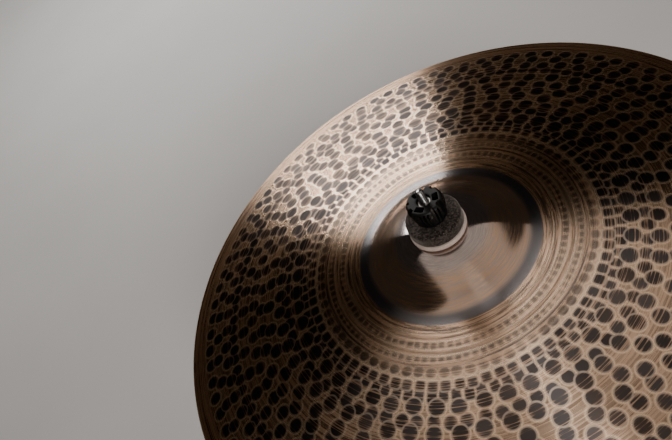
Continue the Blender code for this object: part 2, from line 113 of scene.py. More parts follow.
def rounded(corners, steps=5):
    """Rounds each (radius, height, fillet in mm) corner; a fillet of 0 keeps it sharp."""
    points = []
    for i, (x, y, fillet) in enumerate(corners):
        corner = Vector((x, y))
        if not fillet:
            points.append((x, y))
            continue
        before = (Vector(corners[i - 1][:2]) - corner).normalized()
        after = (Vector(corners[(i + 1) % len(corners)][:2]) - corner).normalized()
        half = before.angle(after) / 2
        reach = fillet * MM / math.tan(half)
        centre = corner + (before + after).normalized() * (fillet * MM / math.sin(half))
        start = corner + before * reach - centre
        sweep = start.angle_signed(corner + after * reach - centre)
        for k in range(steps + 1):
            arm = start.copy()
            arm.rotate(Matrix.Rotation(-sweep * k / steps, 2))
            points.append(tuple(centre + arm))
    return points


def ring_section(outer, inner, high, low, fillets, steps):
    """A ring's rounded section; its fillets in mm start at the outer upper corner and go down."""
    corners = ((outer, high), (outer, low), (inner, low), (inner, high))
    return rounded([(r, z, fillet) for (r, z), fillet in zip(corners, fillets)], steps)


def subdivided(outline, longest):
    """The closed outline with its long stretches cut into steps no longer than longest."""
    points = []
    for i, (x, y) in enumerate(outline):
        ahead = outline[(i + 1) % len(outline)]
        count = max(1, math.ceil(math.dist((x, y), ahead) / longest))
        for k in range(count):
            share = k / count
            points.append((x + (ahead[0] - x) * share, y + (ahead[1] - y) * share))
    return points


def sheet_faces(first, rings, count, flip):
    """Quads between closed rings of count points each, which begin at the point first."""
    faces = []
    for ring in range(rings - 1):
        start = first + ring * count
        for k in range(count):
            n = (k + 1) % count
            quad = (start + k, start + count + k, start + count + n, start + n)
            faces.append(quad[::-1] if flip else quad)
    return faces


def turned_points(outline, segments, change):
    """The outline's points at each turn round Z; change may move (radius, angle, height)."""
    radius = np.repeat(np.array([p[0] for p in outline])[None], segments, 0)
    height = np.repeat(np.array([p[1] for p in outline])[None], segments, 0)
    angle = np.repeat((np.arange(segments) * TAU / segments)[:, None], len(outline), 1)
    if change:
        radius, angle, height = change(radius, angle, height)
    points = np.stack([radius * np.cos(angle), radius * np.sin(angle), height], -1)
    return [tuple(point) for point in points.reshape(-1, 3)]


def turned(name, outline, segments=96, change=None, sharp_degrees=40):
    """A closed outline of (radius, height) points round Z."""
    count = len(outline)
    faces = []
    for s in range(segments):
        t = (s + 1) % segments
        for i in range(count):
            j = (i + 1) % count
            faces.append((s * count + i, s * count + j, t * count + j, t * count + i))
    verts = turned_points(outline, segments, change)
    return mesh_object(name, verts, faces, sharp_degrees)


def solid_turned(name, outline, segments=96, change=None, sharp_degrees=40):
    """An open outline whose ends lie on the axis, from top to bottom, round Z."""
    inner = outline[1:-1]
    count = len(inner)
    verts = turned_points(inner, segments, change)
    top, bottom = len(verts), len(verts) + 1
    verts += [(0, 0, outline[0][1]), (0, 0, outline[-1][1])]
    faces = []
    for s in range(segments):
        t = (s + 1) % segments
        for i in range(count - 1):
            faces.append((s * count + i, s * count + i + 1, t * count + i + 1, t * count + i))
        faces.append((top, s * count, t * count))
        faces.append((bottom, t * count + count - 1, s * count + count - 1))
    return mesh_object(name, verts, faces, sharp_degrees)


def plate(name, outline, low, high, bevel=0.0, steps=3):
    """A flat outline of (u, v) points, extruded along Z, with rounded rims."""
    solid = bmesh.new()
    face = solid.faces.new([solid.verts.new((u, v, low)) for u, v in outline])
    grown = bmesh.ops.extrude_face_region(solid, geom=[face])
    top = [item for item in grown["geom"] if isinstance(item, bmesh.types.BMVert)]
    bmesh.ops.translate(solid, vec=(0, 0, high - low), verts=top)
    bmesh.ops.recalc_face_normals(solid, faces=solid.faces)
    if bevel:
        caps = [f for f in solid.faces if abs(f.normal.z) > 0.9]
        rims = {edge for cap in caps for edge in cap.edges}
        bmesh.ops.bevel(
            solid, geom=list(rims), offset=bevel, segments=steps, profile=0.5, affect="EDGES"
        )
    mesh = bpy.data.meshes.new(name)
    solid.to_mesh(mesh)
    solid.free()
    return linked(name, mesh)


def placed(obj, matrix):
    obj.data.transform(matrix)
    return obj


def weld(mesh, reach=0.001 * MM):
    """Joins the points that a Boolean step leaves closer together than reach."""
    solid = bmesh.new()
    solid.from_mesh(mesh)
    bmesh.ops.remove_doubles(solid, verts=solid.verts, dist=reach)
    bmesh.ops.dissolve_degenerate(solid, dist=reach, edges=solid.edges)
    solid.to_mesh(mesh)
    solid.free()


def combine(target, other, operation="DIFFERENCE"):
    """Applies one Boolean step to the target and removes the other shape."""
    step = target.modifiers.new("step", "BOOLEAN")
    step.operation = operation
    step.solver = "EXACT"
    step.object = other
    depsgraph = bpy.context.evaluated_depsgraph_get()
    result = bpy.data.meshes.new_from_object(target.evaluated_get(depsgraph))
    target.modifiers.clear()
    weld(result)
    target.data = result
    bpy.data.objects.remove(other, do_unlink=True)
    return target


def smooth(obj, sharp_degrees):
    obj.data.shade_smooth()
    obj.data.set_sharp_from_angle(angle=math.radians(sharp_degrees))
    return obj


def finished(obj, look, body, slot, *nodes):
    """Gives a piece its material, ties it to its body and hides its CAD nodes; slot is not used."""
    obj.data.materials.clear()
    obj.data.materials.append(look)
    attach(obj, body)
    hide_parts(*nodes)


# ------------ material tools


class Look:
    """A material whose nodes are added one by one; an input given a socket is linked."""

    def __init__(self, name):
        self.material = bpy.data.materials.new(name)
        self.material.use_nodes = True
        self.tree = self.material.node_tree
        self.shader = self.tree.nodes["Principled BSDF"]
        self.place = self.add("TexCoord", out=3)  # where the point is on the object, in metres

    def put(self, socket, value):
        if isinstance(value, bpy.types.NodeSocket):
            self.tree.links.new(value, socket)
        else:
            socket.default_value = value

    def add(self, kind, *inputs, out=0, **settings):
        """A node of that kind; inputs are (name or index, value) pairs. Returns one output."""
        node = self.tree.nodes.new("ShaderNode" + kind)
        for key, value in settings.items():
            setattr(node, key, value)
        for key, value in inputs:
            self.put(node.inputs[key], value)
        return node.outputs[out]

    def set(self, **inputs):
        """Sets the shader's inputs; an underscore in a name stands for a space."""
        for key, value in inputs.items():
            self.put(self.shader.inputs[key.replace("_", " ")], value)

    def math(self, operation, *values):
        return self.add("Math", *enumerate(values), operation=operation)

    def step(self, value, low, high, to_low=0.0, to_high=1.0):
        return self.add(
            "MapRange", ("Value", value), ("From Min", low), ("From Max", high),
            ("To Min", to_low), ("To Max", to_high), interpolation_type="SMOOTHSTEP",
        )

    def mix(self, share, a, b):
        """A colour between a and b."""
        return self.add("Mix", (0, share), (6, a), (7, b), out=2, data_type="RGBA")

    def blend(self, share, a, b):
        """A number between a and b."""
        return self.add("Mix", (0, share), (2, a), (3, b))

    def noise(self, scale, detail, roughness, vector=None):
        return self.add(
            "TexNoise", ("Vector", self.place if vector is None else vector),
            ("Scale", scale), ("Detail", detail), ("Roughness", roughness),
        )

    def bump(self, height, distance, strength, normal=None):
        inputs = [("Height", height), ("Distance", distance), ("Strength", strength)]
        if normal is not None:
            inputs.append(("Normal", normal))
        return self.add("Bump", *inputs)


class Arrays:
    """Look.math for arrays, so that one formula shapes both a mesh and its material."""

    steps = {
        "ADD": np.add, "SUBTRACT": np.subtract, "MULTIPLY": np.multiply, "SQRT": np.sqrt,
        "MINIMUM": np.minimum, "MAXIMUM": np.maximum, "ABSOLUTE": np.abs, "SINE": np.sin,
        "MODULO": np.fmod, "LESS_THAN": np.less, "ROUND": lambda value: np.floor(value + 0.5),
        "MULTIPLY_ADD": lambda value, factor, extra: value * factor + extra,
    }

    def math(self, operation, *values):
        return self.steps[operation](*values)


def rgb(red, green, blue):
    return (red, green, blue, 1.0)


# ------------ cymbal

# Rows of hammer marks in the order in which they are struck: share of the rim radius, marks in
# the row, azimuth of one of them in degrees, length along and across the row in mm, squarish.
HAMMER_ROWS = (
    (0.807, 122, 82.5, 8.8, 9.2, False), (0.573, 77, 78.7, 9.4, 9.6, False),
    (0.503, 90, 81.3, 6.6, 8.4, True), (0.475, 79, 82.0, 7.2, 7.2, True),
    (0.437, 74, 80.0, 7.4, 6.8, False), (0.400, 103, 80.0, 3.9, 4.0, True),
    (0.357, 92, 80.0, 4.2, 4.8, True), (0.914, 88, 80.2, 9.6, 9.8, False),
    (0.720, 70, 81.2, 10.4, 10.4, False), (0.683, 51, 81.5, 10.8, 10.2, False),
    (0.879, 62, 81.2, 9.6, 10.6, False), (0.839, 78, 79.6, 9.8, 10.4, False),
    (0.764, 57, 82.0, 10.4, 11.0, False), (0.648, 44, 84.7, 10.8, 10.8, False),
    (0.603, 55, 79.0, 11.0, 11.2, False), (0.533, 51, 80.6, 11.8, 11.2, False),
)
MARK_DEPTH = 0.035 * MM
MARK_BOWL = 5.0  # mm from a mark's outline to where it is deepest
UNDER_DENT = 0.6  # share of a mark's depth that shows on the underside
LOOSENESS = 0.05  # how far a mark strays in place and size, as a share of its size
SWAY = (2.4, 1.3)  # radians for each mark and each row of the wave that moves marks along
DRIFT = (4.1, 2.1)  # and of the wave that moves them across the row
MARK_GROWTH = 0.12  # mm by which the large round marks are wider than their row says
MARK_SWELL = 0.35  # mm by which they grow on one side of the cymbal and shrink on the other
SWELL_FROM = math.radians(20)
FAR = 9.0  # mm from a mark, where it no longer matters
# Turned steps: share of the rim radius, half width in mm, height in mm.
TURNED_STEPS = (
    (0.990, 0.9, -0.10), (0.968, 0.8, -0.08), (0.945, 0.9, -0.10), (0.463, 0.9, 0.08),
    (0.436, 0.9, -0.12), (0.412, 0.8, 0.08), (0.385, 0.9, -0.10), (0.372, 0.7, 0.07),
    (0.341, 0.9, -0.12), (0.328, 0.7, 0.06), (0.313, 0.8, -0.10),
)
STEP_CLEARANCE = 1.4  # half widths that plain rings keep from a turned step
# Slow waves of the bow: how many go round, mm of radius for each radian of lean, phase, share.
WAVES = ((5, 31, 0.0, 1.0), (9, -17, 0.0, 0.7), (17, 11, 1.0, 0.5))
WAVE_HEIGHT = 0.02 * MM
WAVE_FADE = 30 * MM  # over which the waves begin, outside the bell
TOP_SEGMENTS = 640
UNDER_SEGMENTS = 320
TOP_RINGS = (26, 80)  # over the bell and over the bow
UNDER_RINGS = (16, 44)


def cymbal_height(radius):
    """The bell falls from its crown, is steepest at BELL_STEEP_RADIUS and eases into the bow."""
    inner = np.minimum(radius, BELL_STEEP_RADIUS)
    fall = inner / BELL_POWER * (inner / BELL_STEEP_RADIUS) ** (BELL_POWER - 1)
    past = np.maximum(radius - BELL_STEEP_RADIUS, 0)
    fall += past - past**2 / (BELL_RADIUS - BELL_STEEP_RADIUS) / 2
    share = np.clip((radius - BELL_RADIUS) / (RIM_RADIUS - BELL_RADIUS), 0, 1)
    bow = BELL_EDGE_H * (1 - share**BOW_POWER)
    return np.where(radius <= BELL_RADIUS, CROWN_H - BELL_SLOPE * fall, bow)


def hammer_field(calc, radius, turn):
    """The hammer marks at a radius in mm and a turn from 0 to 1, by calc.math.

    Gives the signed distance in mm to the outline of all marks together and to the nearest
    crest, both negative on a mark, and each mark's tone. Marks struck later cut the others.
    """
    do = calc.math
    outline, crest, tone = FAR, FAR, 0.0
    swell = do("SINE", do("MULTIPLY_ADD", turn, TAU, -SWELL_FROM))
    for row, (share, count, azimuth, along, across, square) in enumerate(HAMMER_ROWS):
        place = do("MULTIPLY_ADD", turn, float(count), count * (1 - azimuth / 360))
        nearest = do("ROUND", place)
        number = do("MODULO", nearest, float(count))
        sway = do("SINE", do("MULTIPLY_ADD", number, SWAY[0], row * SWAY[1]))
        drift = do("SINE", do("MULTIPLY_ADD", number, DRIFT[0], row * DRIFT[1]))
        beside = do("SUBTRACT", place, nearest)
        middle = share * RIM_RADIUS / MM
        pitch = TAU * middle / count
        loose = LOOSENESS * min(along, across)
        beside = do("MULTIPLY_ADD", beside, 2 * pitch / along, 0.0)
        beside = do("MULTIPLY_ADD", sway, 2 * loose / along, beside)
        above = do("MULTIPLY_ADD", radius, 2 / across, -2 * middle / across)
        above = do("MULTIPLY_ADD", drift, 2 * loose / across, above)
        beside = do("MULTIPLY", beside, beside)
        above = do("MULTIPLY", above, above)
        if square:
            beside = do("MULTIPLY", beside, beside)
            above = do("MULTIPLY", above, above)
        reach = do("SQRT", do("ADD", beside, above))
        if square:
            reach = do("SQRT", reach)
        half = (along + across) / 4
        size = do("MULTIPLY", do("MULTIPLY", sway, drift), LOOSENESS * half)
        distance = do("SUBTRACT", do("MULTIPLY_ADD", reach, half, -half), size)
        if not square and share > 0.5:
            distance = do("MULTIPLY_ADD", swell, -MARK_SWELL, distance)
            distance = do("SUBTRACT", distance, MARK_GROWTH)
        struck = do("LESS_THAN", distance, 0.0)
        outline = do("MINIMUM", distance, outline)
        inner = do("MULTIPLY", do("ABSOLUTE", distance), -1.0)
        crest = do("MAXIMUM", inner, do("MINIMUM", distance, crest))
        change = do("SUBTRACT", do("MULTIPLY_ADD", sway, 0.5, 0.5), tone)
        tone = do("MULTIPLY_ADD", change, struck, tone)
    return outline, crest, tone


def turned_steps(radius):
    """The height of the turned steps, each a ridge or a groove with straight flanks."""
    height = np.zeros(radius.shape)
    for share, half, step in TURNED_STEPS:
        away = np.abs(radius - share * RIM_RADIUS) / (half * MM)
        height += step * MM * np.clip(1 - away, 0, 1)
    return height


def waviness(radius, angle):
    """The slow unevenness that hammering leaves in the bow."""
    total = np.zeros(radius.shape)
    for count, lean, phase, share in WAVES:
        total += share * np.sin(count * angle + radius / (lean * MM) + phase)
    return np.clip((radius - BELL_RADIUS) / WAVE_FADE, 0, 1) * WAVE_HEIGHT * total


def ring_radii(bell_rings, bow_rings, with_steps):
    """The radii of one side's rings of points, with three for each turned step."""
    bell = HOLE_RADIUS + (BELL_RADIUS - HOLE_RADIUS) * np.linspace(0, 1, bell_rings, endpoint=False)
    bow = np.linspace(BELL_RADIUS, RIM_RADIUS, bow_rings)
    radii = list(bell) + list(bow)
    if with_steps:
        for share, half, _ in TURNED_STEPS:
            middle = share * RIM_RADIUS
            radii = [r for r in radii if abs(r - middle) > STEP_CLEARANCE * half * MM]
            radii += [middle - half * MM, middle, middle + half * MM]
    return np.array(sorted(radii))


def cymbal_surface(radii, segments, under):
    """One side's points, ring by ring from the hole to the rim."""
    radius = np.repeat(radii[:, None], segments, 1)
    turn = np.repeat((np.arange(segments) / segments)[None], len(radii), 0)
    angle = TAU * turn
    _, crest, _ = hammer_field(Arrays(), radius / MM, turn)
    bowl = np.clip(1 + crest / MARK_BOWL, 0, 1)
    dent = MARK_DEPTH * (1 - bowl**2)
    height = cymbal_height(radius) + waviness(radius, angle)
    if under:
        share = radius / RIM_RADIUS
        height -= BELL_THICKNESS + (RIM_THICKNESS - BELL_THICKNESS) * share + UNDER_DENT * dent
    else:
        height += turned_steps(radius) - dent
    points = np.stack([radius * np.cos(angle), radius * np.sin(angle), RIM_Z + height], -1)
    return points.reshape(-1, 3)


def joining_faces(fine, coarse, segments, flip):
    """Joins a ring of 2 x segments points to a ring of segments points."""
    faces = []
    for k in range(segments):
        a, b, c = fine + 2 * k, fine + 2 * k + 1, fine + (2 * k + 2) % (2 * segments)
        d, e = coarse + k, coarse + (k + 1) % segments
        for face in ((a, d, b), (b, d, e), (b, e, c)):
            faces.append(face[::-1] if flip else face)
    return faces


def make_cymbal(look):
    top_radii = ring_radii(*TOP_RINGS, True)
    under_radii = ring_radii(*UNDER_RINGS, False)
    top = cymbal_surface(top_radii, TOP_SEGMENTS, False)
    under = cymbal_surface(under_radii, UNDER_SEGMENTS, True)
    base = len(top)
    faces = sheet_faces(0, len(top_radii), TOP_SEGMENTS, False)
    faces += sheet_faces(base, len(under_radii), UNDER_SEGMENTS, True)
    rim = (len(top_radii) - 1) * TOP_SEGMENTS
    under_rim = base + (len(under_radii) - 1) * UNDER_SEGMENTS
    faces += joining_faces(rim, under_rim, UNDER_SEGMENTS, False)
    faces += joining_faces(0, base, UNDER_SEGMENTS, True)
    cymbal = mesh_object("cymbal_plate", np.concatenate([top, under]), faces, 60)
    finished(cymbal, look, "cymbal", "cymbal_bronze", "cymbal")


# Lines turned round the cymbal: share of the rim radius and half width in mm.
BRIGHT_LINES = ((0.453, 0.7), (0.386, 0.8), (0.372, 0.5), (0.341, 0.7), (0.326, 0.5))
DARK_LINES = ((0.419, 1.3), (0.335, 0.6), (0.310, 0.8), (0.946, 0.6), (0.972, 0.5))
# Zones, by the shares of the rim radius between which each of them fades in.
INNER_ROWS = (0.455, 0.435)
OUTER_BAND = (0.925, 0.950)
# the rim's rounded edge: rougher, and its colour there is a painted highlight
RIM_EDGE_HIGHLIGHT = (0.9950, 0.9985)
BELL = (0.297, 0.290)
BELL_FOOT = (0.248, 0.272)
LATHED_FROM, LATHED_TO = (0.135, 0.170), (0.272, 0.250)


def bronze_look():
    """Smoked bronze: dark hammer marks, lathed ridges between them, a polished bell; the crests
    round the marks and the rim's edge carry painted highlights.
    """
    look = Look("smoked_bronze")
    do, mix, step, blend = look.math, look.mix, look.step, look.blend
    flat = look.add("VectorMath", (0, look.place), (1, (1, 1, 0)), operation="MULTIPLY")
    radius = look.add("VectorMath", (0, flat), operation="LENGTH", out=1)
    direction = look.add("VectorMath", (0, flat), operation="NORMALIZE")
    radius_mm = do("DIVIDE", radius, MM)
    share = do("DIVIDE", radius, RIM_RADIUS)
    split = look.tree.nodes.new("ShaderNodeSeparateXYZ")
    look.put(split.inputs[0], look.place)
    turn = do("ARCTAN2", split.outputs[1], split.outputs[0])
    turn = do("FRACT", do("DIVIDE", turn, TAU))
    outline, crest, tone = hammer_field(look, radius_mm, turn)

    def streaks(reach, pitch, detail=2.0):
        """Noise drawn out along the lathe's grooves: reach round the axis, pitch in mm."""
        round_axis = look.add("VectorMath", (0, direction), ("Scale", reach), operation="SCALE")
        outward = look.add("CombineXYZ", (2, do("DIVIDE", radius_mm, pitch)))
        vector = look.add("VectorMath", (0, round_axis), (1, outward), operation="ADD")
        return look.noise(1.0, detail, 0.6, vector)

    def lines(rings):
        """1 on each of the turned lines, 0 between them."""
        total = 0.0
        for at, half in rings:
            away = do("ABSOLUTE", do("SUBTRACT", share, at))
            on_line = step(away, half * MM / RIM_RADIUS, 0.0)
            total = do("MAXIMUM", total, on_line)
        return total

    fine = streaks(2.6, 0.95, 3.0)
    hair = streaks(3.0, 0.55, 3.0)
    broad = streaks(1.2, 5.5, 1.0)
    patchy = look.noise(26.0, 4.0, 0.6)
    grain = look.noise(900.0, 2.0, 0.6)

    ragged = do("MULTIPLY_ADD", fine, 0.9, do("ADD", outline, -0.45))
    mark = step(ragged, 0.4, -0.4)
    inner = step(share, *INNER_ROWS)
    mark = do("MULTIPLY", mark, blend(inner, 1.0, 0.55))
    # rim: a painted highlight on the crest just outside each mark, fainter on the inner rows
    rim = do("MULTIPLY", step(outline, -0.2, 0.3), step(outline, 2.0, 0.7))
    rim = do("MULTIPLY", rim, blend(inner, 1.0, 0.35))
    # a painted highlight along the crests where marks cut into each other
    painted_seam_highlight = do("MULTIPLY", step(crest, -1.0, -0.15), mark)
    bell = step(share, *BELL)
    coarse = step(outline, 1.0, -4.0, 0.44, 0.55)
    coarse = do("MULTIPLY_ADD", step(share, *OUTER_BAND), -0.07, coarse)
    groove = step(fine, coarse, do("ADD", coarse, 0.14))
    bright = lines(BRIGHT_LINES)
    dark = lines(DARK_LINES)
    edge = step(share, *RIM_EDGE_HIGHLIGHT)

    worn = step(broad, 0.40, 0.62)
    burnished = mix(worn, rgb(0.37, 0.268, 0.196), rgb(0.55, 0.405, 0.300))
    # the ridges' bronze, with the painted crest highlight round the marks
    ridge = mix(rim, burnished, rgb(0.98, 0.735, 0.53))
    ridge = mix(do("MULTIPLY", bright, 0.8), ridge, rgb(0.86, 0.66, 0.50))
    smoked = mix(tone, rgb(0.064, 0.057, 0.056), rgb(0.098, 0.088, 0.087))
    # the marks' smoked bronze, with the painted highlight along their crests
    smoked = mix(do("MULTIPLY", painted_seam_highlight, 0.62), smoked, rgb(0.70, 0.56, 0.45))
    bow = mix(mark, ridge, smoked)
    bow = mix(do("MULTIPLY", dark, 0.75), bow, rgb(0.10, 0.10, 0.115))
    copper = blend(mark, blend(rim, 0.85, 0.40), 0.62)
    bow = mix(do("MULTIPLY", groove, copper), bow, rgb(0.73, 0.48, 0.33))
    shine = step(hair, 0.42, 0.60)
    lathed = do("MULTIPLY", step(share, *LATHED_FROM), step(share, *LATHED_TO))
    lathed = do("MULTIPLY", lathed, blend(shine, 0.35, 1.0))
    foot = step(share, *BELL_FOOT)
    bell_tone = mix(shine, rgb(0.56, 0.51, 0.505), rgb(0.68, 0.60, 0.575))
    bell_tone = mix(lathed, bell_tone, rgb(0.84, 0.59, 0.42))
    bell_tone = mix(foot, bell_tone, rgb(0.25, 0.24, 0.25))
    colour = mix(bell, bow, bell_tone)
    # a painted highlight along the rim's rounded edge
    colour = mix(edge, colour, rgb(0.80, 0.60, 0.45))
    stain = do("MULTIPLY", step(patchy, 0.42, 0.75), 0.18)
    colour = mix(stain, colour, rgb(0.24, 0.15, 0.10))

    rough = blend(grain, 0.205, 0.255)
    rough = blend(mark, rough, blend(grain, 0.29, 0.34))
    rough = blend(groove, rough, 0.30)
    rough = blend(bell, rough, blend(foot, blend(lathed, 0.09, 0.15), 0.24))
    rough = blend(edge, rough, 0.50)

    height = look.bump(blend(mark, fine, blend(0.35, 0.5, fine)), 0.03 * MM, 0.3)
    height = look.bump(grain, 0.02 * MM, 0.2, height)
    tangent = look.add("Tangent", direction_type="RADIAL", axis="Z")
    look.set(Base_Color=colour, Roughness=rough, Normal=height, Tangent=tangent,
             Metallic=1.0, Anisotropic=1.0, Anisotropic_Rotation=0.25)
    return look.material


# ------------ felts and washer

FELT_BORE = 5.6 * MM
LUMP_WAVES = 9  # waves whose sum makes a felt's surface lumpy
LUMP_HEIGHT = 2.1 * MM  # of height for a radian of the sine that makes a wave lean


def felt_look(name, dark, light, fleck):
    """Pressed wool: dark and light clumps of fibres, and a few bright flecks."""
    look = Look(name)
    clumps = look.noise(620.0, 3.0, 0.6)
    fibres = look.noise(1900.0, 2.0, 0.6)
    flecks = look.add(
        "TexVoronoi", ("Vector", look.place), ("Scale", 900.0), ("Randomness", 1.0), feature="F1",
    )
    colour = look.mix(look.step(clumps, 0.42, 0.60), dark, light)
    bright = look.math("MULTIPLY", look.step(flecks, 0.34, 0.14), look.step(fibres, 0.42, 0.60))
    colour = look.mix(bright, colour, fleck)
    wool = look.blend(0.5, clumps, fibres)
    look.set(Base_Color=colour, Normal=look.bump(wool, 0.45 * MM, 0.8), Roughness=0.95,
             Sheen_Weight=0.5, Sheen_Roughness=0.5, Sheen_Tint=rgb(0.55, 0.50, 0.46),
             Specular_IOR_Level=0.2)
    return look.material


def pressed(seed, depth):
    """A change for turned() that gives felt a slightly lumpy surface."""
    draw = np.random.default_rng(seed)
    waves = [
        (draw.integers(3, 19), draw.uniform(0, TAU), draw.uniform(0, TAU))
        for _ in range(LUMP_WAVES)
    ]

    def change(radius, angle, height):
        lump = np.zeros(radius.shape)
        for count, phase, lean in waves:
            lump += np.sin(count * angle + phase + lean * np.sin(height / LUMP_HEIGHT))
        lump *= depth / LUMP_WAVES
        return radius + lump - depth, angle, height - np.abs(lump) / 2

    return change


def make_felt(name, node, look, fillet, seed):
    """A felt disc that fills its CAD solid."""
    low, high = low_high(node)
    inset = 0.05 * MM
    fillets = (fillet, fillet * 0.6, 0.4, 0.5)
    section = ring_section(high[0] - inset, FELT_BORE, high[2] - inset, low[2] + inset, fillets, 6)
    felt = turned(name, subdivided(section, 0.9 * MM), 144, pressed(seed, 0.12 * MM), 60)
    felt.data.materials.append(look)
    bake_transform(felt)
    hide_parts(node)


def make_stack():
    dark = felt_look(
        "dark_wool", rgb(0.019, 0.016, 0.015), rgb(0.066, 0.055, 0.050), rgb(0.24, 0.19, 0.165)
    )
    light = felt_look(
        "beige_wool", rgb(0.60, 0.48, 0.41), rgb(0.70, 0.57, 0.49), rgb(0.78, 0.65, 0.57)
    )
    make_felt("felt_above", "upper_felt", dark, 2.4, 3)
    make_felt("felt_below", "lower_felt", dark, 1.8, 4)
    low, high = low_high("light_washer")
    edge, bore = high[0] - 0.03 * MM, 7.0 * MM
    section = ring_section(edge, bore, high[2], low[2], (1.0, 1.0, 0.3, 0.3), 6)
    washer = turned("washer_beige", subdivided(section, 1.2 * MM), 144, pressed(5, 0.04 * MM), 60)
    finished(washer, light, "rocker", "light_felt", "light_washer")


# ------------ nut and rod

NUT_RADIUS = 13.2 * MM  # at its widest
NUT_WIDEST_DOWN = 4.6 * MM  # from its top face down to there
NUT_TOP_RADIUS = 10.9 * MM
INSERT_SEAT = 4.9 * MM  # radius of the nut's seat for its insert
SHOULDER_STEPS = 12
POCKET_AZIMUTHS = (-14, 106, 226)
POCKET_INNER, POCKET_OUTER = 5.9 * MM, 10.1 * MM
POCKET_DEPTH = 5 * MM
ROD_PLAIN = 36 * MM  # above the bolt, where the rod's thread begins
# Grip flutes after each pocket: degrees on from it, width in degrees, radius of the floor and
# top in mm; the top is counted down from the nut's top face, and a negative one cuts the rim.
FLUTES = ((9, 6, 10.7, 1.0), (21, 6, 10.7, 1.0), (33, 6, 10.7, 1.0), (52, 13, 10.2, -1.0),
          (68, 6, 10.7, 1.0), (87, 17, 9.7, -1.0), (106, 6, 10.7, 1.0))


def about_z(degrees):
    """A turn round Z."""
    return Matrix.Rotation(math.radians(degrees), 4, "Z")


def nut_flute(azimuth, width, floor, top, bottom):
    """A cutter for one flute, narrower inside than outside."""
    inner, outer = floor * MM, 15.0 * MM
    half = outer * math.radians(width) / 2
    inner_half, outer_half = half * 0.72, half * 1.1
    corners = rounded([
        (inner, -inner_half, 0.5), (outer, -outer_half, 0),
        (outer, outer_half, 0), (inner, inner_half, 0.5),
    ], 4)
    return placed(plate("flute", corners, bottom, top), about_z(azimuth))


def plastic_look(name):
    """Black plastic with a fine grain and paler, rougher scuffs."""
    look = Look(name)
    grain = look.noise(2600.0, 3.0, 0.6)
    scuffs = look.noise(240.0, 4.0, 0.7)
    black, scuffed = rgb(0.013, 0.013, 0.0135), rgb(0.028, 0.027, 0.027)
    colour = look.mix(look.step(scuffs, 0.45, 0.75), black, scuffed)
    rough = look.blend(look.step(scuffs, 0.35, 0.75), 0.42, 0.56)
    look.set(Base_Color=colour, Roughness=rough, Normal=look.bump(grain, 0.03 * MM, 0.5),
             Specular_IOR_Level=0.35)
    return look.material


def make_nut(look):
    """The plastic nut: a rounded shoulder, with its flutes and pockets cut out."""
    low, high = low_high("nut_body")
    top, bottom = high[2], low[2]
    wide_z = top - NUT_WIDEST_DOWN
    seat_z = bottom + 1.0 * MM
    outline = [(INSERT_SEAT, top - 0.35 * MM), (5.1 * MM, top - 0.12 * MM), (5.5 * MM, top)]
    for k in range(SHOULDER_STEPS + 1):
        turn = math.radians(90 - 90 * k / SHOULDER_STEPS)
        outline.append((
            NUT_TOP_RADIUS + (NUT_RADIUS - NUT_TOP_RADIUS) * math.cos(turn),
            wide_z + NUT_WIDEST_DOWN * math.sin(turn) ** 0.6,
        ))
    outline += [(NUT_RADIUS, wide_z - 0.8 * MM), (11.3 * MM, bottom + 1.2 * MM),
                (11.0 * MM, bottom + 0.3 * MM), (10.7 * MM, bottom),
                (M6_BORE + 0.2 * MM, bottom), (M6_BORE, bottom + 0.2 * MM),
                (M6_BORE, seat_z), (INSERT_SEAT, seat_z)]
    nut = turned("nut_plastic_body", subdivided(outline, 1.6 * MM), 144)
    for azimuth in POCKET_AZIMUTHS:
        for on, width, floor, below in FLUTES:
            flute = nut_flute(azimuth + on, width, floor, top - below * MM, bottom + 0.8 * MM)
            combine(nut, flute)
    for azimuth in POCKET_AZIMUTHS:
        corners = rounded([
            (POCKET_INNER, -3.0 * MM, 0.6), (POCKET_OUTER, -3.5 * MM, 0.9),
            (POCKET_OUTER, 3.5 * MM, 0.9), (POCKET_INNER, 3.0 * MM, 0.6),
        ], 4)
        pocket = plate("pocket", corners, top - POCKET_DEPTH, top + 2 * MM)
        combine(nut, placed(pocket, about_z(azimuth)))
    smooth(nut, 32)
    finished(nut, look, "nut", "nut_plastic", "nut_body")


def metal_look(name, colour, roughness, streak=(900.0,) * 3, wear=0.35, spread=0.08):
    """Plated or brushed metal: fine streaks and dulled, rougher patches."""
    look = Look(name)
    drawn = look.add("VectorMath", (0, look.place), (1, streak), operation="MULTIPLY")
    lines = look.noise(1.0, 3.0, 0.6, drawn)
    patches = look.noise(90.0, 4.0, 0.65)
    dull = tuple(c * 0.72 for c in colour)
    shade = look.mix(
        look.math("MULTIPLY", look.step(patches, 0.45, 0.8), wear), rgb(*colour), rgb(*dull)
    )
    rough = look.math("ADD", roughness, look.blend(lines, 0.0, spread))
    rough = look.math("ADD", rough, look.blend(look.step(patches, 0.4, 0.8), 0.0, spread))
    look.set(Base_Color=shade, Roughness=rough, Metallic=1.0,
             Normal=look.bump(lines, 0.01 * MM, 0.3))
    return look.material


def make_insert(look):
    low, high = low_high("nut_insert")
    section = ring_section(high[0], M6_BORE, high[2], low[2], (0.35, 0.3, 0.3, 0.5), 4)
    insert = turned("insert_metal_bush", subdivided(section, 1.5 * MM), 96)
    finished(insert, look, "nut_carrier", "insert_metal", "nut_insert")


def thread(radius, pitch, depth, low, high, chamfer):
    """A change for solid_turned() that cuts a right-hand thread between low and high."""
    root, flank = 1.25, 1.9  # the root is flat where it is over 1; a larger flank is steeper

    def change(r, angle, z):
        phase = (z / pitch - angle / TAU) % 1
        cut = depth * np.clip(root - flank * np.abs(2 * phase - 1), 0, 1)
        limit = np.minimum(radius, radius - chamfer + (high - z))
        in_range = (z > low) & (z < high - 0.02 * MM) & (r > radius * 0.9)
        return np.where(in_range, np.minimum(limit, radius - cut), r), angle, z

    return change


